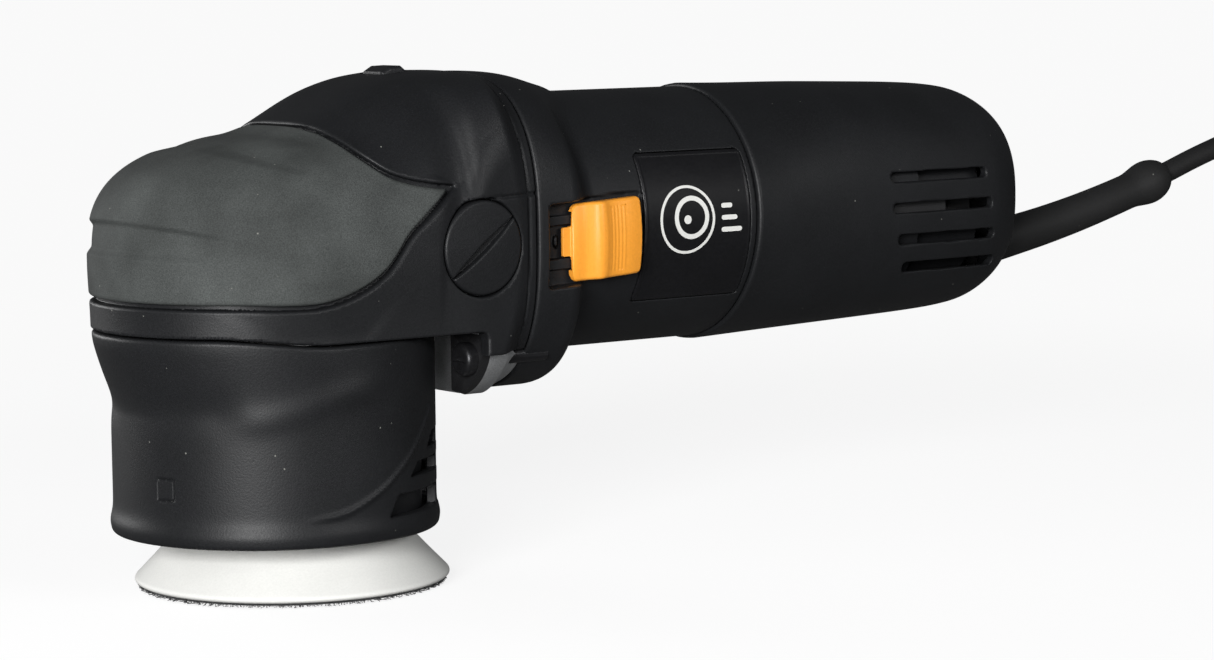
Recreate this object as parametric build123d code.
from build123d import *
import math
import os

# A small dual action polisher: an angle-head motor tool whose pad orbits and also turns freely.
# Millimetres. +Z is up, the drive spindle is the Z axis and z = 0 is the working face of the pad.
# The motor runs back along +X. The pad's own axis stands off the spindle by half the throw.

# ---------------------------------------------------------------- driving dimensions
THROW = 12.0                      # diameter of the orbit the pad makes
ORBIT_ANGLE = 20.0                # where the pad's axis stands at rest, in degrees from +X
PAD_R = 38.0                      # backing plate, nominal 3 inch
HOOK_T = 1.1                      # hook layer on its face
PAD_TOP = 14.1
MOTOR_Z = 84.2                    # height of the motor's axis over the pad's face

SHROUD_BOTTOM = 14.6
SHROUD_TOP = 61.2
SHROUD_R = 38.8
SHROUD_WALL = 2.4
SHROUD_SWELL = 4.4                # how far the shroud's front grows towards its top
DECK_Z = 55.9                     # underside of the shroud's deck
DECK_T = 2.5

HEAD_BOTTOM = 61.5                # lower edge of the head cover
HEAD_STEP_X = 38.0                # behind this the edge drops to HEAD_STEP_Z
HEAD_STEP_Z = 57.0
HEAD_HALF = 38.6                  # half width of the head
HEAD_ARC_X = -5.0                 # centre of the round front
HEAD_STRAIGHT_X = 31.0            # behind this the sides draw in towards the seam
HEAD_TOP = 122.6                  # top of the hump
HEAD_SHOULDER = 20.0              # radius of the shoulders
SEAM_X = 52.7                     # where the head meets the motor housing
SEAM_HALF = 37.0                  # half width at that seam
COVER_WALL = 2.6
GRIP_WALL = 1.2                   # soft layer moulded over the cover
HEAD_LINE = [(-45, 76), (-42, 92), (-33.5, 103), (-20, 107.3), (0, 109.4),
             (10, 112), (20, 117), (30, 121), (42, 122.6), (52.7, 122.4)]
GRIP_LINE = [(-60, 69.3), (-3, 69.3), (9, 73.3), (17.6, 83.3), (30, 96),
             (14, 98.7), (6, 102.5), (13, 114), (13, 130), (-60, 130)]

BARREL_R = 32.4                   # motor housing
BORE_R = 28.6
BARREL_START_X = 84.0
BARREL_END_X = 123.5              # where the rear cover takes over
FLANGE_X = 62.0                   # back of the flange's straight part
FLANGE_HALF_Y = 36.6
FLANGE_LOW = 44.0
FLANGE_HIGH = 122.4
TUBE_R = 29.0                     # inner tube that carries the brushes and the rear bearing
TUBE_BORE_R = 27.8
REAR_WALL_X = 173.0               # front of the rear bearing wall
TUBE_END_X = 182.2
STATOR_X = 80.0                   # front of the field and of the armature's core
STATOR_LENGTH = 40.0
TAIL_WALL = 2.4
TAIL_LINE = [(123.9, 33.2), (140, 32.8), (175, 31.7), (203, 30.8), (214, 29.4), (222.5, 25.4), (225.5, 20)]
TAIL_SCREW_X = 223.6              # seats of the two screws in its end, and where they stand
TAIL_SCREW = (14, 96)             # (y, z)
CLAMP_X = 203.0                   # cord clamp, inside the rear cover
CLAMP_SPLIT_Z = 63.2
DIAL_X = 215.9                    # speed dial, its centre
DIAL_Z = 97.0
DIAL_R = 10.6

CAP_X = 35.6                      # coin caps over the side handle sockets
CAP_Z = 81.7
CAP_R = 11.3

SWITCH_FRONT_X = 59.5             # recess that the slide switch runs in
SWITCH_BACK_X = 87.3
SWITCH_LOW = 71.6
SWITCH_HIGH = 91.4
SWITCH_FLOOR_Y = -30.8
SLIDER_LENGTH = 21.4
ROD_OUT_Y = -27.5                 # flat rod from the slider to the switch
ROD_IN_Y = -25.7
ROD_HALF = 2.0

RATIO = 4                         # armature turns for one turn of the spindle
PINION_TEETH = 10
GEAR_TEETH = PINION_TEETH * RATIO
GEAR_R = 22.0                     # outer pitch radius of the crown gear
FACE_WIDTH = 7.0
PRESSURE = math.radians(25)
ADDENDUM_GEAR = 0.8               # in modules
ADDENDUM_PINION = 1.0
TIP_CLEARANCE = 0.25
BACKLASH = 0.16

BEARING_R = 14.0                  # spindle and pad bearings, 28 x 12 x 8
BEARING_BORE_R = 6.0
BEARING_W = 8.0
PAD_BEARING_Z = 22.0              # lower face of the pad bearing
SPINDLE_BEARING_Z = 52.0

LOCK_X = 34.0
COLLAR_R = 10.2
PIN_R = 2.0

BOOT_X = 225.0                    # where the cord boot leaves the rear cover
BOOT_Z = 68.5
BOOT_SLOPE = 12.0                 # degrees upwards
BOOT_LENGTH = 78.0
CORD_SLOPE = 19.0
CORD_R = 3.0
CORD_START = -27.0                # along the boot's axis, inside the rear cover

RUN = 0.05                        # radial clearance of a running fit
FIT = 0.02                        # radial clearance of a press fit
GAP = 0.2                         # clearance between fixed neighbours

PAD_X = THROW / 2 * math.cos(math.radians(ORBIT_ANGLE))
PAD_Y = THROW / 2 * math.sin(math.radians(ORBIT_ANGLE))

os.makedirs("parts", exist_ok=True)


# ---------------------------------------------------------------- helpers
def save(name, shape):
    """Writes one node. A list becomes a group of separate solids."""
    if isinstance(shape, list):
        shape = Compound(children=[solid for item in shape for solid in item.solids()])
    export_step(shape, f"parts/{name}.step")


def rod_z(r, z0, z1, x=0.0, y=0.0):
    return Pos(x, y, (z0 + z1) / 2) * Cylinder(r, z1 - z0)


def rod_x(r, x0, x1, y=0.0, z=MOTOR_Z):
    return Pos((x0 + x1) / 2, y, z) * Rot(0, 90, 0) * Cylinder(r, x1 - x0)


def rod_y(r, y0, y1, x, z):
    return Pos(x, (y0 + y1) / 2, z) * Rot(90, 0, 0) * Cylinder(r, y1 - y0)


def tube_z(ro, ri, z0, z1, x=0.0, y=0.0):
    return rod_z(ro, z0, z1, x, y) - rod_z(ri, z0 - 1, z1 + 1, x, y)


def tube_x(ro, ri, x0, x1, y=0.0, z=MOTOR_Z):
    return rod_x(ro, x0, x1, y, z) - rod_x(ri, x0 - 1, x1 + 1, y, z)


def block(x0, x1, y0, y1, z0, z1):
    return Pos((x0 + x1) / 2, (y0 + y1) / 2, (z0 + z1) / 2) * Box(x1 - x0, y1 - y0, z1 - z0)


def turned(points):
    """A solid of revolution about the Z axis, from (radius, height) points."""
    outline = Polyline(*[(r, 0, z) for r, z in points], close=True)
    return revolve(make_face(outline), Axis.Z)


def both_sides(shape):
    """The shape and its mirror image across the tool."""
    return [shape, mirror(shape, Plane.XZ)]


def on_circle(radius, degrees):
    return radius * math.cos(math.radians(degrees)), radius * math.sin(math.radians(degrees))


def across_motor(x, half_y, low, high, corner):
    """A rounded rectangle across the motor's axis."""
    plane = Plane((x, 0, (low + high) / 2), x_dir=(0, 1, 0), z_dir=(1, 0, 0))
    return plane * RectangleRounded(2 * half_y, high - low, corner)


def moved_in(points, distance):
    """A line of (x, z) points shifted to its lower right, square to its own run."""
    shifted = []
    for i, (x, z) in enumerate(points):
        x0, z0 = points[max(i - 1, 0)]
        x1, z1 = points[min(i + 1, len(points) - 1)]
        length = math.hypot(x1 - x0, z1 - z0)
        shifted.append((x + distance * (z1 - z0) / length, z - distance * (x1 - x0) / length))
    return shifted


def bearing(outer_r, inner_r, width):
    """A ball bearing about Z, centred on the origin: its outer ring and balls, and its inner ring."""
    middle = (outer_r + inner_r) / 2
    ball = 0.28 * (outer_r - inner_r)
    race = Torus(middle, ball + RUN)
    outer = tube_z(outer_r, middle + 0.5 * ball, -width / 2, width / 2) - race
    inner = tube_z(middle - 0.5 * ball, inner_r + FIT, -width / 2, width / 2) - race
    count = int(math.pi * middle / (1.25 * ball))
    balls = [Pos(*on_circle(middle, 360 * i / count), 0) * Sphere(ball) for i in range(count)]
    return [outer] + balls, inner


def placed(location, shapes):
    return [location * shape for shape in shapes]


def screw(head_r, head_h, shank_r, length):
    """A pan-head screw about Z, seated on z = 0 with its shank down and a cross recess in its head."""
    head = rod_z(head_r, 0, head_h)
    head = fillet(head.edges().group_by(Axis.Z)[-1], 0.4 * head_h)
    arm = Box(1.2 * head_r, 0.28 * head_r, head_h)
    recess = Pos(0, 0, 0.95 * head_h) * (arm + Rot(0, 0, 90) * arm)
    return head + rod_z(shank_r, -length, 0.1) - recess


# ---------------------------------------------------------------- pad, turning freely on its own axis
def hook_face():
    return rod_z(PAD_R - 1.2, 0, HOOK_T, PAD_X, PAD_Y)


def pad_insert():
    """A steel disc buried in the plate, with the stud that screws into the pad spindle."""
    disc = turned([(0, 4.5), (19, 4.5), (21, 5.5), (21, 6.5), (9, 7.5), (9, 15.9), (3.9, 15.9), (3.9, 25), (0, 25)])
    return Pos(PAD_X, PAD_Y, 0) * disc


def backing_plate():
    """A soft moulded cone that is widest just over the hook layer."""
    rim = PAD_R - 0.9
    cone = turned([(0, HOOK_T), (rim, HOOK_T), (PAD_R, 2.1), (PAD_R - 0.5, 3.2),
                   (31.5, 10), (27.5, 13.5), (26, PAD_TOP), (0, PAD_TOP)])
    return Pos(PAD_X, PAD_Y, 0) * cone - pad_insert()


def pad_spindle():
    """Carries the pad in its bearing. Flats take a spanner and the bore takes the pad's stud."""
    seat = PAD_BEARING_Z
    body = rod_z(9.5, 16, seat - FIT) + rod_z(BEARING_BORE_R, seat - 1, seat + BEARING_W - 0.1)
    flats = block(-8, 8, -10, 10, 16, seat - 2)
    body = body & (flats + rod_z(12, seat - 2, 60))
    body -= rod_z(4, 15, 26)
    body -= rod_z(2.45, 20, 60)
    return Pos(PAD_X, PAD_Y, 0) * body


def pad_spindle_screw():
    """Clamps the bearing's inner ring to the pad spindle through a washer."""
    top = PAD_BEARING_Z + BEARING_W + RUN
    fastener = Pos(0, 0, top + 1.2) * screw(4.2, 2.8, 2.4, 4.4)
    washer = rod_z(8, top, top + 1.2)
    return Pos(PAD_X, PAD_Y, 0) * (fastener + washer)


# ---------------------------------------------------------------- spindle, driven by the crown gear
def eccentric_hub():
    """Holds the pad bearing off centre, with a counterweight on the other side."""
    ceiling = PAD_BEARING_Z + BEARING_W + FIT
    pad_axis = Pos(PAD_X, PAD_Y, 0)
    hub = pad_axis * rod_z(17, 20.4, 39) + rod_z(13, 36, 40) + rod_z(10, 38, 46) + rod_z(8.4, 40, 51.9)
    outline = Polyline((0, 0), on_circle(46, 55), on_circle(60, 0), on_circle(46, -55), close=True)
    sector = extrude(make_face(outline), 60)
    weight = Rot(0, 0, ORBIT_ANGLE + 180) * (rod_z(31.5, 25, 38.5) & sector)
    hub += weight
    hub -= pad_axis * rod_z(BEARING_R + FIT, 20, ceiling)
    hub -= pad_axis * rod_z(BEARING_R + 0.7, 20.7, 21.8)
    hub -= pad_axis * rod_z(11.6, 28, 35.4)
    return hub - rod_z(BEARING_BORE_R + FIT, 37.5, 60)


def pad_bearing_clip():
    """A spring ring in a groove under the pad bearing."""
    ring = tube_z(BEARING_R + 0.5, BEARING_R - 2, 20.8, 21.7) - block(8, 20, -3.5, 3.5, 20, 23)
    return Pos(PAD_X, PAD_Y, 0) * ring


def spindle_shaft():
    shaft = rod_z(BEARING_BORE_R, 37.6, 66) + rod_z(5, 60, 98.3)
    return chamfer(shaft.edges().group_by(Axis.Z)[-1], 0.6)


# ---------------------------------------------------------------- bevel gears, meeting at one apex
MODULE = 2 * GEAR_R / GEAR_TEETH
PINION_R = GEAR_R / RATIO
PINION_ANGLE = math.atan(1 / RATIO)
CONE_LENGTH = math.hypot(GEAR_R, PINION_R)
APEX = Vector(0, 0, MOTOR_Z)
SMALL_END = (CONE_LENGTH - FACE_WIDTH) / CONE_LENGTH


def towards_apex(points, factor):
    return [APEX + (Vector(*point) - APEX) * factor for point in points]


def half_angle(radius, pitch_r, teeth):
    """Half of a tooth's angle at a radius of a spur gear with involute flanks."""
    base = pitch_r * math.cos(PRESSURE)
    slope = math.acos(min(1, base / radius))
    involute = math.tan(slope) - slope
    at_pitch = math.tan(PRESSURE) - PRESSURE
    return math.pi / (2 * teeth) + at_pitch - involute - BACKLASH / 4 / pitch_r


def tapered(outline, small=SMALL_END, large=1.0):
    """A ruled solid between two sizes of one outline, both seen from the apex."""
    faces = [make_face(Polyline(*towards_apex(outline, size), close=True)) for size in (small, large)]
    return loft(faces, ruled=True)


def pinion_point(radius, angle):
    """A point of the equivalent spur gear, wrapped on the back cone and drawn in the plane x = GEAR_R."""
    equivalent = PINION_R / math.cos(PINION_ANGLE)
    reach = GEAR_R + (equivalent - radius) * math.sin(PINION_ANGLE)
    r = radius * math.cos(PINION_ANGLE) * GEAR_R / reach
    turn = angle / math.cos(PINION_ANGLE)
    return r, turn


def pinion_outline():
    equivalent = PINION_R / math.cos(PINION_ANGLE)
    teeth = PINION_TEETH / math.cos(PINION_ANGLE)
    root = equivalent - MODULE * (ADDENDUM_GEAR + TIP_CLEARANCE)
    base = equivalent * math.cos(PRESSURE)
    tip = equivalent + MODULE * ADDENDUM_PINION
    radii = [root] + [base + (tip - base) * i / 5 for i in range(6)]
    flank = [pinion_point(r, half_angle(r, equivalent, teeth)) for r in radii]
    points = []
    for tooth in range(PINION_TEETH):
        middle = -math.pi / 2 + 2 * math.pi * tooth / PINION_TEETH
        for r, turn in [(r, -t) for r, t in flank] + flank[::-1]:
            points.append((GEAR_R, r * math.cos(middle + turn), MOTOR_Z + r * math.sin(middle + turn)))
    return points


def bevel_pinion():
    """The small gear, with the socket that the armature's shaft is pressed into."""
    shank = rod_x(4, GEAR_R - 0.5, 24) + rod_x(5, 23.2, 30)
    return tapered(pinion_outline()) + shank - rod_x(2.5 + FIT, 22.6, 31)


def crown_tooth_outline(degrees):
    """One tooth at the outer end of the pitch cone, in the plane square to the cone."""
    angle = math.radians(degrees)
    outward = Vector(math.cos(angle), math.sin(angle), 0)
    sideways = Vector(-math.sin(angle), math.cos(angle), 0)
    rise = outward * math.sin(PINION_ANGLE) + Vector(0, 0, math.cos(PINION_ANGLE))
    pitch_point = outward * GEAR_R + Vector(0, 0, MOTOR_Z - PINION_R)
    equivalent = GEAR_R / math.sin(PINION_ANGLE)
    teeth = GEAR_TEETH / math.sin(PINION_ANGLE)
    low = -MODULE * (ADDENDUM_PINION + TIP_CLEARANCE) - 0.3
    high = MODULE * ADDENDUM_GEAR
    heights = [low + (high - low) * i / 4 for i in range(5)]
    right = []
    left = []
    for height in heights:
        radius = equivalent + height
        width = radius * half_angle(radius, equivalent, teeth)
        right.append(tuple(pitch_point + rise * height + sideways * width))
        left.append(tuple(pitch_point + rise * height - sideways * width))
    return right + left[::-1]


def crown_gear():
    """The large gear: a blank under its root cone, with every tooth laid on it, standing on its bearing."""
    depth = MODULE * (ADDENDUM_PINION + TIP_CLEARANCE)
    root_r = GEAR_R - depth * math.sin(PINION_ANGLE)
    root_z = MOTOR_Z - PINION_R - depth * math.cos(PINION_ANGLE)
    inner_r = root_r * SMALL_END
    inner_z = MOTOR_Z + (root_z - MOTOR_Z) * SMALL_END
    blank = turned([(5 + FIT, 66.1), (9.5, 66.1), (9.5, 70), (18.5, 71.5), (root_r - 0.9, root_z - 3.5),
                    (root_r, root_z), (inner_r, inner_z), (12.5, inner_z - 1.5), (5 + FIT, inner_z - 1.5)])
    pitch = 360 / GEAR_TEETH
    teeth = [tapered(crown_tooth_outline(pitch * (i + 0.5))) for i in range(GEAR_TEETH)]
    spacer = tube_z(8.2, BEARING_BORE_R + RUN, SPINDLE_BEARING_Z + BEARING_W + RUN, 66.2)
    return blank + spacer + teeth


# ---------------------------------------------------------------- armature
def armature_shaft():
    shaft = rod_x(2.5, 22.8, 31) + rod_x(4, 30.2, 175) + rod_x(3.5, 174, 182)
    return shaft


def lock_collar():
    """A steel collar with four notches that the lock pin drops into."""
    collar = tube_x(COLLAR_R, 4 + FIT, 31, 37)
    notch = block(30, 38, -PIN_R - 0.4, PIN_R + 0.4, MOTOR_Z + 7.2, MOTOR_Z + 20)
    for quarter in range(4):
        collar -= notch.rotate(Axis((0, 0, MOTOR_Z), (1, 0, 0)), 90 * quarter)
    return collar


def cooling_fan():
    """A plate on a hub, with curved-back blades on its rear face."""
    fan = rod_x(8, 56, 70) + rod_x(25.2, 56, 57.6)
    blades = 13
    for i in range(blades):
        blade = block(57, 70, 10, 24.6, MOTOR_Z - 0.7, MOTOR_Z + 0.7)
        blade = blade.rotate(Axis((0, 10, MOTOR_Z), (1, 0, 0)), 28)
        fan += blade.rotate(Axis((0, 0, MOTOR_Z), (1, 0, 0)), 360 * i / blades)
    fan = fan & rod_x(25.2, 55, 71)
    return fan - rod_x(4 + FIT, 55, 71)


def armature_core():
    """The laminated stack, with open slots for the windings."""
    end = STATOR_X + STATOR_LENGTH
    core = tube_x(14.9, 4 + FIT, STATOR_X, end)
    for i in range(12):
        slot = block(STATOR_X - 1, end + 1, -1.3, 1.3, MOTOR_Z + 9.5, MOTOR_Z + 16)
        core -= slot.rotate(Axis((0, 0, MOTOR_Z), (1, 0, 0)), 30 * i)
    return core


def armature_windings():
    """Copper in every slot, joined by the end turns."""
    end = STATOR_X + STATOR_LENGTH
    coils = tube_x(13.4, 5, STATOR_X - 7.5, STATOR_X - 0.1) + tube_x(13.4, 5, end + 0.1, end + 8.5)
    for i in range(12):
        bar = block(STATOR_X - 1, end + 1, -1.1, 1.1, MOTOR_Z + 9.7, MOTOR_Z + 13)
        coils += bar.rotate(Axis((0, 0, MOTOR_Z), (1, 0, 0)), 30 * i)
    return coils


def commutator():
    drum = tube_x(9.5, 4 + FIT, 144, 158) + tube_x(10.8, 4 + FIT, 141, 144.2)
    for i in range(24):
        gap = block(140, 159, -0.25, 0.25, MOTOR_Z + 8.8, MOTOR_Z + 12)
        drum -= gap.rotate(Axis((0, 0, MOTOR_Z), (1, 0, 0)), 15 * i)
    return drum


# ---------------------------------------------------------------- head
FLANGE_SCREWS = [(27.8, 54.3), (24.0, 107.0)]   # (y, z) of the screws that join gear case and motor


def rod_passage(x0, x1):
    """Room for the switch rod along the left side of the motor."""
    return block(x0, x1, -BORE_R - 5, ROD_IN_Y + 0.4, MOTOR_Z - ROD_HALF - 0.8, MOTOR_Z + ROD_HALF + 0.8)


def gear_housing():
    """The cast case: a bowl over the gears, a tunnel for the pinion and a flange for the motor."""
    plate = extrude(across_motor(43, 34, 44.5, 114, 16), 9.5)
    pads = extrude(across_motor(38, 34, 44.5, 114, 16), 6) & block(37, 45, -40, 40, 40, 60)
    pads -= block(37, 43, -20, 20, 40, 61)
    bowl = rod_z(32, HEAD_BOTTOM, 100)
    bowl = fillet(bowl.edges().group_by(Axis.Z)[-1], 6)
    case = plate + pads + bowl + rod_x(17, 10, 46)
    for socket in both_sides(rod_y(11, 12, 35, CAP_X, CAP_Z)):
        case += socket
    cavity = rod_z(25.8, 60, 96.4)
    cavity = fillet(cavity.edges().group_by(Axis.Z)[-1], 4)
    cavity -= rod_z(10.6, 91.4, 100)
    case -= cavity
    case -= rod_z(8 + FIT, 91, 98.6)
    case -= rod_x(7.6, 15, 30)
    case -= rod_x(11 + FIT, 29.5, 48)
    case -= rod_x(16.6, 48, 54)
    for socket in both_sides(rod_y(8, 22, 40, CAP_X, CAP_Z)):
        case -= socket
    case -= rod_z(PIN_R + RUN, 90, 104, LOCK_X, 0)
    for y, z in FLANGE_SCREWS:
        for hole in both_sides(rod_x(2.1, 36, 54, y, z)):
            case -= hole
    for y in (-13.8, 13.8):
        case -= rod_x(1.55, 42, 50, y)
    for degrees in range(45, 360, 90):
        case -= rod_z(2.05, 60, 72, *on_circle(29, degrees))
    return case


def bearing_plate():
    """Closes the bowl from below and holds the spindle's lower bearing."""
    top = SPINDLE_BEARING_Z + BEARING_W + FIT
    plate = rod_z(31.8, DECK_Z + DECK_T + 0.1, HEAD_BOTTOM - 0.1) + rod_z(18.2, 49, 60)
    plate -= rod_z(BEARING_R + FIT, SPINDLE_BEARING_Z - FIT, top)
    plate -= rod_z(11.5, 48, 70)
    for degrees in range(45, 360, 90):
        plate -= rod_z(2.3, 50, 70, *on_circle(29, degrees))
    return plate - rod_z(12.5, top - 0.1, 70)


def bearing_plate_screws():
    """Four screws that run up through the shroud's deck and the bearing plate into the gear case."""
    fastener = Rot(180, 0, 0) * screw(3.6, 2.6, 2.0, 15)
    return [Pos(*on_circle(29, degrees), DECK_Z - RUN) * fastener for degrees in range(45, 360, 90)]


def top_bushing():
    return tube_z(8, 5 + RUN, 91.5, 98.5)


def head_form(inset, floor, rear):
    """The head's outer shape, drawn in by a wall thickness: a side view, a plan and a section crossed."""
    line = moved_in(HEAD_LINE, inset)
    line[-1] = (rear, line[-1][1])
    front = line[0][0]
    top = Spline(*[(x, 0, z) for x, z in line])
    rest = Polyline((rear, 0, line[-1][1]), (rear, 0, floor), (front, 0, floor), (front, 0, line[0][1]))
    side = extrude(make_face([top, rest]), 60, dir=(0, 1, 0), both=True)
    half = HEAD_HALF - inset
    seam = SEAM_HALF - inset
    nose = CenterArc((HEAD_ARC_X, 0), half, 90, 180)
    corners = [(HEAD_ARC_X, half), (HEAD_STRAIGHT_X, half), (SEAM_X, seam)]
    if rear > SEAM_X:
        corners.append((rear, seam))
    flanks = Polyline(*corners, *[(x, -y) for x, y in corners[::-1]])
    plan = extrude(make_face([nose, flanks]), 200)
    section = extrude(across_motor(-60, half + 1.5, -40, HEAD_TOP - inset, HEAD_SHOULDER - inset), 140)
    return side & plan & section


def grip_zone():
    """The side view of the soft layer, taken right through the head."""
    outline = Polyline(*[(x, 0, z) for x, z in GRIP_LINE], close=True)
    return extrude(make_face(outline), 60, dir=(0, 1, 0), both=True)


def nose_grip(outside):
    """The soft layer: the head's outer skin inside the grip's zone."""
    core = head_form(GRIP_WALL, 40, SEAM_X + 5)
    return outside & grip_zone() - core


def head_cover(outside):
    """The outer shell of the head, thinner where the soft layer lies on it."""
    inside = head_form(COVER_WALL, 40, SEAM_X + 5)
    cover = outside - inside - (grip_zone() - head_form(GRIP_WALL + RUN, 40, SEAM_X + 5))
    cover -= block(-60, HEAD_STEP_X, -60, 60, 40, HEAD_BOTTOM)
    for hole in both_sides(rod_y(CAP_R + GAP, 30, 45, CAP_X, CAP_Z)):
        cover -= hole
    return cover - block(29.7, 36.9, -4.8, 4.8, 110, 130)


def side_cap():
    """A coin cap over the left socket: a slotted disc on a threaded stem."""
    cap = rod_y(CAP_R, -38.7, -35.9, CAP_X, CAP_Z) + rod_y(7.8, -36, -27, CAP_X, CAP_Z)
    cap = chamfer(cap.edges().group_by(Axis.Y)[0], 0.5)
    coin = Pos(CAP_X, -47.5, CAP_Z) * Rot(0, -38, 0) * Cylinder(10.6, 2.0)
    return cap - coin


def shroud():
    """The skirt round the orbiting parts. Its front swells towards the top and its back is vented."""
    skirt = turned([(0, SHROUD_BOTTOM), (37.4, SHROUD_BOTTOM), (39.2, 16.2), (39.3, 18), (SHROUD_R, 21),
                    (SHROUD_R, SHROUD_TOP), (0, SHROUD_TOP)])
    swell = SHROUD_SWELL / 2
    lower = Pos(0, 0, 42) * Circle(SHROUD_R)
    upper = Pos(-swell, 0, SHROUD_TOP) * Circle(SHROUD_R + swell)
    body = skirt + loft([lower, upper])
    body -= rod_z(SHROUD_R - SHROUD_WALL, 10, DECK_Z)
    body -= rod_z(18.6, 50, 70) + rod_z(32.2, DECK_Z + DECK_T, 70)
    for degrees in range(45, 360, 90):
        body -= rod_z(2.3, 50, 70, *on_circle(29, degrees))
    for row, reach in enumerate((74, 62, 50)):
        height = 22.5 + 7.6 * row
        slit = tube_z(50, 30, height - 1.9, height + 1.9)
        for start, end in ((-reach, -40), (-37, -13), (-10, 10), (13, 37), (40, reach)):
            wedge = Polyline((0, 0), on_circle(60, start), on_circle(80, (start + end) / 2), on_circle(60, end),
                             close=True)
            body -= slit & extrude(make_face(wedge), 60)
    return body


def gearcase_screws():
    """Four screws from the head into the motor housing. The lower two show under the cover."""
    (low_y, low_z), (high_y, high_z) = FLANGE_SCREWS
    fastener = Rot(0, -90, 0) * screw(4.1, 3.0, 2.0, 22)
    low = Pos(38 - RUN, low_y, low_z) * fastener
    high = Pos(43 - RUN, high_y, high_z) * (Rot(0, -90, 0) * screw(4.1, 3.0, 2.0, 18))
    return both_sides(low) + both_sides(high)


def bearing_retainer():
    plate = tube_x(16.2, 8.4, 48 + RUN, 49.8)
    for y in (-13.8, 13.8):
        plate -= rod_x(1.7, 47, 51, y)
    return plate


def retainer_screws():
    fastener = Pos(49.8 + RUN, 0, MOTOR_Z) * Rot(0, 90, 0) * screw(2.3, 1.6, 1.5, 7)
    return [Pos(0, y, 0) * fastener for y in (-13.8, 13.8)]


# ---------------------------------------------------------------- motor housing
def motor_housing():
    """The moulded barrel: a square flange at the head, a round body and an inner tube at the back."""
    flange = across_motor(SEAM_X + 0.1, FLANGE_HALF_Y, FLANGE_LOW, FLANGE_HIGH, 20)
    neck = across_motor(FLANGE_X, FLANGE_HALF_Y, FLANGE_LOW + 0.4, FLANGE_HIGH - 1, 20)
    barrel = across_motor(BARREL_START_X, BARREL_R, MOTOR_Z - BARREL_R, MOTOR_Z + BARREL_R, BARREL_R - 0.1)
    body = loft([flange, neck], ruled=True) + loft([neck, barrel], ruled=True)
    body += rod_x(BARREL_R, BARREL_START_X - 0.1, BARREL_END_X)
    body += rod_x(TUBE_R, BARREL_END_X - 1, TUBE_END_X)
    body -= rod_x(BORE_R, 50, STATOR_X + STATOR_LENGTH + 0.5)
    body -= rod_x(TUBE_BORE_R, 110, REAR_WALL_X)
    body -= rod_x(TUBE_BORE_R, REAR_WALL_X + 2, 200) - rod_x(12, REAR_WALL_X, 200)
    for boss in both_sides(rod_x(4, REAR_WALL_X + 1, TAIL_SCREW_X - 3.1, *TAIL_SCREW)):
        body += boss
    body -= rod_x(9.5 + FIT, REAR_WALL_X + 2, 200)
    body -= rod_x(5, 170, 180)
    for hole in both_sides(rod_x(1.6, 202, TAIL_SCREW_X, *TAIL_SCREW)):
        body -= hole
    for y, z in FLANGE_SCREWS:
        for hole in both_sides(rod_x(2.1, 50, 64, y, z)):
            body -= hole
    body -= block(SWITCH_FRONT_X, SWITCH_BACK_X, -50, SWITCH_FLOOR_Y, SWITCH_LOW, SWITCH_HIGH)
    body -= block(69.5, 81, -40, -20, MOTOR_Z - 3, MOTOR_Z + 3)
    body -= rod_passage(REAR_WALL_X - 1, 190) & rod_x(TUBE_BORE_R, 160, 200)
    for degrees in (0, 270, 225, 315):
        y, z = on_circle(20, degrees)
        body -= rod_x(4, REAR_WALL_X - 1, REAR_WALL_X + 3, y, MOTOR_Z + z)
    return body - badge_zone(BARREL_R - 0.5)


def badge_zone(inner_r):
    """The raised panel's place on the barrel's left side, from a radius outwards."""
    return tube_x(BARREL_R + 2, inner_r, 87.8, 121.8) & block(80, 130, -50, 0, 64.6, 101.6)


def name_badge():
    """A thin curved panel, left blank."""
    return badge_zone(BARREL_R - 0.45) & rod_x(BARREL_R + 0.25, 80, 130) & block(88, 121.6, -50, 0, 64.8, 101.4)


def air_baffle():
    """Guides the cooling air into the fan."""
    return tube_x(BORE_R - 0.1, 22.5, 73.5, 76) - rod_passage(72, 78)


def stator_core():
    """The laminated field: a ring with two poles whose shoes close round the armature."""
    end = STATOR_X + STATOR_LENGTH
    core = tube_x(BORE_R - 0.1, 22, STATOR_X, end)
    shoes = tube_x(17, 15.4, STATOR_X, end)
    for side in (1, -1):
        reach = sorted((MOTOR_Z + side * 9, MOTOR_Z + side * 30))
        core += shoes & block(STATOR_X - 1, end + 1, -30, 30, *reach)
        pole = sorted((MOTOR_Z + side * 14, MOTOR_Z + side * 23))
        core += block(STATOR_X, end, -9, 9, *pole) - rod_x(15.4, STATOR_X - 1, end + 1)
    return core - rod_passage(STATOR_X - 1, end + 1)


def field_coils():
    """Two saddle coils, one round each pole."""
    end = STATOR_X + STATOR_LENGTH
    coils = []
    for side in (1, -1):
        reach = sorted((MOTOR_Z + side * 5, MOTOR_Z + side * 30))
        coil = tube_x(21.8, 17.2, STATOR_X - 3, end + 3) & block(60, 140, -30, 30, *reach)
        coils.append(coil - block(STATOR_X - 0.2, end + 0.2, -9.2, 9.2, 40, 130))
    return coils


def brush_plate():
    """The insulating ring that carries both brush holders."""
    return tube_x(TUBE_BORE_R - 0.1, 12.5, 141.5, 144.4) - rod_passage(140, 146)


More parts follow.
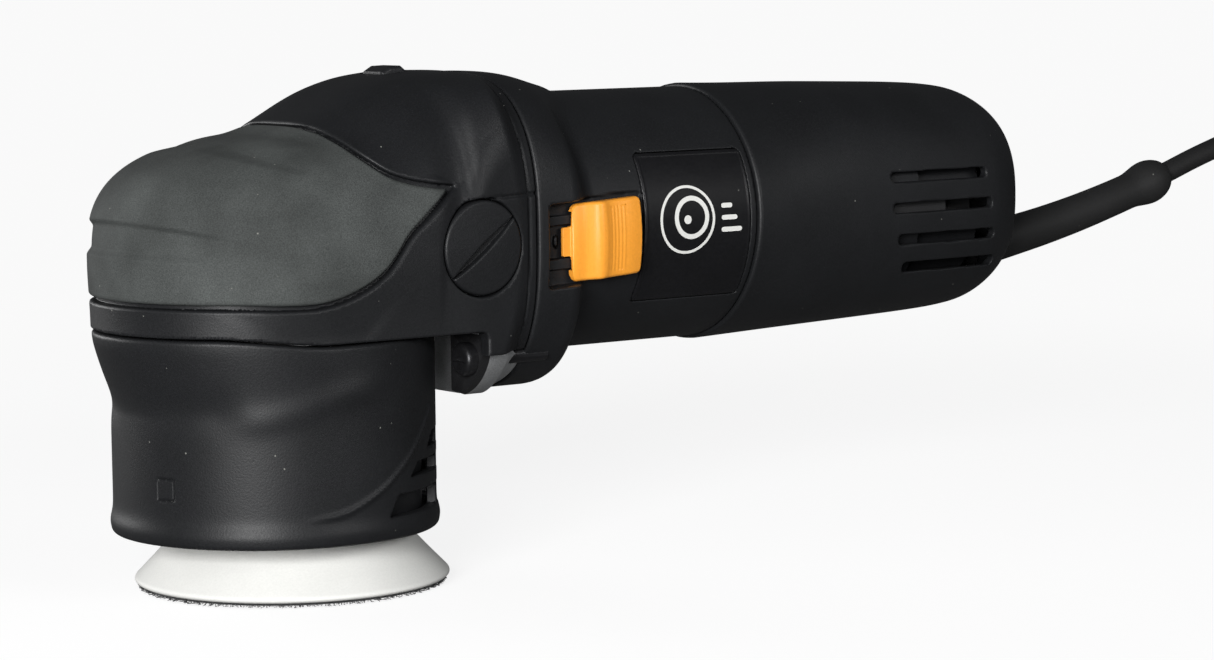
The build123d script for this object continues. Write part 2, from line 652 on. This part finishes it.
def brush_parts():
    """Holders, carbons and springs above and below the commutator."""
    holders = []
    brushes = []
    springs = []
    for half_turn in (0, 180):
        axis = Axis((0, 0, MOTOR_Z), (1, 0, 0))
        holder = block(144.5, 155.5, -5, 5, MOTOR_Z + 11.5, MOTOR_Z + 26.8)
        holder -= block(146.5, 153.5, -3.2, 3.2, MOTOR_Z + 10, MOTOR_Z + 25.6)
        brush = block(146.6, 153.4, -3.1, 3.1, MOTOR_Z + 9.55, MOTOR_Z + 20)
        spring = tube_z(2.7, 1.9, MOTOR_Z + 20.1, MOTOR_Z + 25.5, 150)
        holders.append(holder.rotate(axis, half_turn))
        brushes.append(brush.rotate(axis, half_turn))
        springs.append(spring.rotate(axis, half_turn))
    return holders, brushes, springs


# ---------------------------------------------------------------- slide switch
def switch_slider():
    """The thumb slider: a scooped front, a ridge and a flat back, with a leg through the housing."""
    back = SWITCH_BACK_X - 0.2
    front = back - SLIDER_LENGTH
    base = SWITCH_FLOOR_Y - 0.15
    outline = Polyline((front, base), (front, -33.0), (front + 3.5, -33.3), (front + 8, -36.2),
                       (front + 9.5, -35.8), (back - 1, -35.3), (back, -34.4), (back, base), close=True)
    low = SWITCH_LOW + 0.4
    thumb = Pos(0, 0, low) * extrude(make_face(outline), SWITCH_HIGH - 0.4 - low)
    return thumb + block(76, 80, base - 1, ROD_OUT_Y - 0.1, MOTOR_Z - 2.5, MOTOR_Z + 2.5)


def slide_rod():
    """Runs back past the motor to work the power switch."""
    low = MOTOR_Z - ROD_HALF
    high = MOTOR_Z + ROD_HALF
    return block(75, 192, ROD_OUT_Y, ROD_IN_Y, low, high) + block(189, 192, ROD_IN_Y - 0.5, -20, low, high)


# ---------------------------------------------------------------- spindle lock
def lock_button():
    """A small wedge that stands up through the hump."""
    outline = Polyline((30, 0, 117), (36.6, 0, 117), (36.6, 0, 124.2), (35.6, 0, 124.4), (30, 0, 121.4), close=True)
    wedge = extrude(make_face(outline), 4.5, dir=(0, 1, 0), both=True)
    return wedge + block(28.5, 38, -6, 6, 114.5, 117.4) - rod_z(PIN_R + FIT, 110, 117, LOCK_X, 0)


def lock_pin():
    return rod_z(PIN_R, MOTOR_Z + COLLAR_R + 0.6, 116.9, LOCK_X, 0)


def lock_spring():
    """The return spring under the button."""
    path = Helix(pitch=2.6, height=11.6, radius=3.1, center=(LOCK_X, 0, 101.9))
    start = Plane(origin=path @ 0, z_dir=path % 0)
    return sweep(start * Circle(0.4), path)


# ---------------------------------------------------------------- rear cover and electrics
def tail_form(inset):
    """The rear cover's outer shape, drawn in by a wall thickness."""
    points = [(x - (inset if x > 215 else 0), r - inset) for x, r in TAIL_LINE]
    front_x, front_r = points[0]
    end_x, end_r = points[-1]
    curve = Spline(*[(x, 0, MOTOR_Z + r) for x, r in points])
    rest = Polyline((end_x, 0, MOTOR_Z + end_r), (end_x, 0, MOTOR_Z), (front_x, 0, MOTOR_Z),
                    (front_x, 0, MOTOR_Z + front_r))
    return revolve(make_face([curve, rest]), Axis((0, 0, MOTOR_Z), (1, 0, 0)))


def along_boot(distance):
    """A point on the boot's axis, and the frame whose Z runs along it."""
    slope = math.radians(BOOT_SLOPE)
    origin = (BOOT_X + distance * math.cos(slope), 0, BOOT_Z + distance * math.sin(slope))
    return Plane(origin, x_dir=(0, 1, 0), z_dir=(math.cos(slope), 0, math.sin(slope)))


def rear_cover():
    """A tapering shell over the back of the motor, with four air slots on each side."""
    outside = tail_form(0)
    cover = outside - tail_form(TAIL_WALL)
    cover += block(CLAMP_X - 4, CLAMP_X + 4, -11, 11, 50, CLAMP_SPLIT_Z - 0.1) & outside
    for row in range(4):
        height = MOTOR_Z + 7.8 - 8 * row
        start = 169.8 + 1.9 * row
        slit = block(start, start + 34, -40, 40, height - 1.35, height + 1.35)
        slit = fillet(slit.edges().filter_by(Axis.Y), 1.3)
        cover -= slit - rod_x(25, 150, 220)
    cover -= along_boot(-15) * Pos(0, 0, 15) * Cylinder(6.5, 30)
    cover -= along_boot(-15) * Pos(0, 0, 5.2) * Cylinder(8.3, 14)
    for hole in both_sides(rod_x(1.8, 217, 240, *TAIL_SCREW) + rod_x(3.6, TAIL_SCREW_X, 240, *TAIL_SCREW)):
        cover -= hole
    for y in (-8, 8):
        cover -= rod_z(1.6, 58, 70, CLAMP_X, y)
    cover -= block(DIAL_X + 4, 240, -3.4, 3.4, DIAL_Z - DIAL_R - 0.4, DIAL_Z + DIAL_R + 0.4)
    cover -= along_boot(-40) * Pos(0, 0, 20) * Cylinder(CORD_R + 0.1, 40)
    return cover


def rear_cover_screws():
    fastener = Rot(0, 90, 0) * screw(3.2, 1.7, 1.5, 15)
    return both_sides(Pos(TAIL_SCREW_X + RUN, *TAIL_SCREW) * fastener)


def cord_boot():
    """A strain relief that tapers to a bulb, with a groove that clips into the rear cover."""
    profile = [(CORD_R + 0.1, -8), (7.9, -8), (7.9, -3.6), (6.3, -3.4), (6.2, 2), (5.5, 24), (5.1, 65), (5.8, 68.5),
               (6.2, 72), (6, 75), (4.8, BOOT_LENGTH), (CORD_R + 0.1, BOOT_LENGTH)]
    return along_boot(0) * turned(profile)


def cord_path():
    """The cord's centre line: straight through the boot, then bending up to its end."""
    start = Vector(*along_boot(CORD_START).origin)
    bend = Vector(*along_boot(BOOT_LENGTH + 3).origin)
    straight = Line(start, bend)
    slope = math.radians(CORD_SLOPE)
    turn = TangentArc(bend, bend + Vector(12.0, 0, 12.0 * math.tan((slope + math.radians(BOOT_SLOPE)) / 2)),
                      tangent=straight % 1)
    tangent = turn % 1
    return straight + turn + Line(turn @ 1, turn @ 1 + tangent * 26)


def power_cord():
    path = cord_path()
    section = Plane(origin=path @ 0, z_dir=path % 0) * Circle(CORD_R)
    return sweep(section, path)


def cord_clamp():
    saddle = block(CLAMP_X - 3.7, CLAMP_X + 3.7, -11, 11, CLAMP_SPLIT_Z, CLAMP_SPLIT_Z + 6.7)
    saddle -= along_boot(-40) * Pos(0, 0, 20) * Cylinder(CORD_R + RUN, 40)
    for y in (-8, 8):
        saddle -= rod_z(1.8, 60, 80, CLAMP_X, y)
    return saddle


def cord_clamp_screws():
    fastener = screw(2.8, 1.8, 1.5, 11)
    return [Pos(CLAMP_X, y, CLAMP_SPLIT_Z + 6.7 + RUN) * fastener for y in (-8, 8)]


def power_switch():
    body = block(186, 208, -19.5, -3.5, 74, 90) + block(190, 194, -19.6, -19, 80, 88)
    return body + block(208, 212, -16, -7, 78, 80) + block(208, 212, -16, -7, 84, 86)


def speed_control_board():
    """A board on edge, with its power device, its chokes and the dial's potentiometer."""
    board = block(186, 220.5, 6, 7.6, 84, 103)
    pot = rod_y(5, 3.4, 6.1, DIAL_X, DIAL_Z)
    parts = block(187, 194.5, 1, 6.1, 88, 100) + rod_y(4, -1, 6.1, 200, 95)
    return board + pot + parts


def suppression_capacitor():
    return block(183, 198, -8, 8, 59, 72)


def speed_dial():
    """A numbered thumb wheel that shows through a slot in the end of the rear cover."""
    wheel = rod_y(DIAL_R, -3, 3, DIAL_X, DIAL_Z)
    for i in range(36):
        x, z = on_circle(DIAL_R + 0.3, 10 * i)
        wheel -= rod_y(0.5, -4, 4, DIAL_X + x, DIAL_Z + z)
    return wheel


# ---------------------------------------------------------------- everything is written here
def save_bearings():
    spindle_outer, spindle_inner = bearing(BEARING_R, BEARING_BORE_R, BEARING_W)
    low = Pos(0, 0, SPINDLE_BEARING_Z + BEARING_W / 2)
    pad = Pos(PAD_X, PAD_Y, PAD_BEARING_Z + BEARING_W / 2)
    save("spindle_bearing_outer", placed(low, spindle_outer))
    save("spindle_bearing_inner", low * spindle_inner)
    save("pad_bearing_outer", placed(pad, spindle_outer))
    save("pad_bearing_inner", pad * spindle_inner)
    front_outer, front_inner = bearing(11, 4, 7)
    front = Pos(44.4, 0, MOTOR_Z) * Rot(0, 90, 0)
    save("front_bearing_outer", placed(front, front_outer))
    save("front_bearing_inner", front * front_inner)
    rear_outer, rear_inner = bearing(9.5, 3.5, 6)
    rear = Pos(REAR_WALL_X + 5.1, 0, MOTOR_Z) * Rot(0, 90, 0)
    save("rear_bearing_outer", placed(rear, rear_outer))
    save("rear_bearing_inner", rear * rear_inner)


def save_head():
    outside = head_form(0, HEAD_STEP_Z, SEAM_X)
    save("head_cover", head_cover(outside))
    save("nose_grip", nose_grip(outside))
    left, right = both_sides(side_cap())
    save("side_cap_left", left)
    save("side_cap_right", right)


def save_brushes():
    holders, brushes, springs = brush_parts()
    save("brush_holders", holders)
    save("carbon_brushes", brushes)
    save("brush_springs", springs)


PLAIN_NODES = [
    hook_face, backing_plate, pad_insert, pad_spindle, pad_spindle_screw,
    eccentric_hub, pad_bearing_clip, spindle_shaft, crown_gear,
    bevel_pinion, armature_shaft, lock_collar, cooling_fan, armature_core, armature_windings, commutator,
    gear_housing, bearing_plate, bearing_plate_screws, top_bushing, shroud, gearcase_screws,
    bearing_retainer, retainer_screws, motor_housing, name_badge, air_baffle, stator_core, field_coils,
    brush_plate, switch_slider, slide_rod, lock_button, lock_pin, lock_spring,
    rear_cover, rear_cover_screws, cord_boot, power_cord, cord_clamp, cord_clamp_screws,
    power_switch, speed_control_board, suppression_capacitor, speed_dial,
]

for make in PLAIN_NODES:
    save(make.__name__, make())
save_bearings()
save_head()
save_brushes()
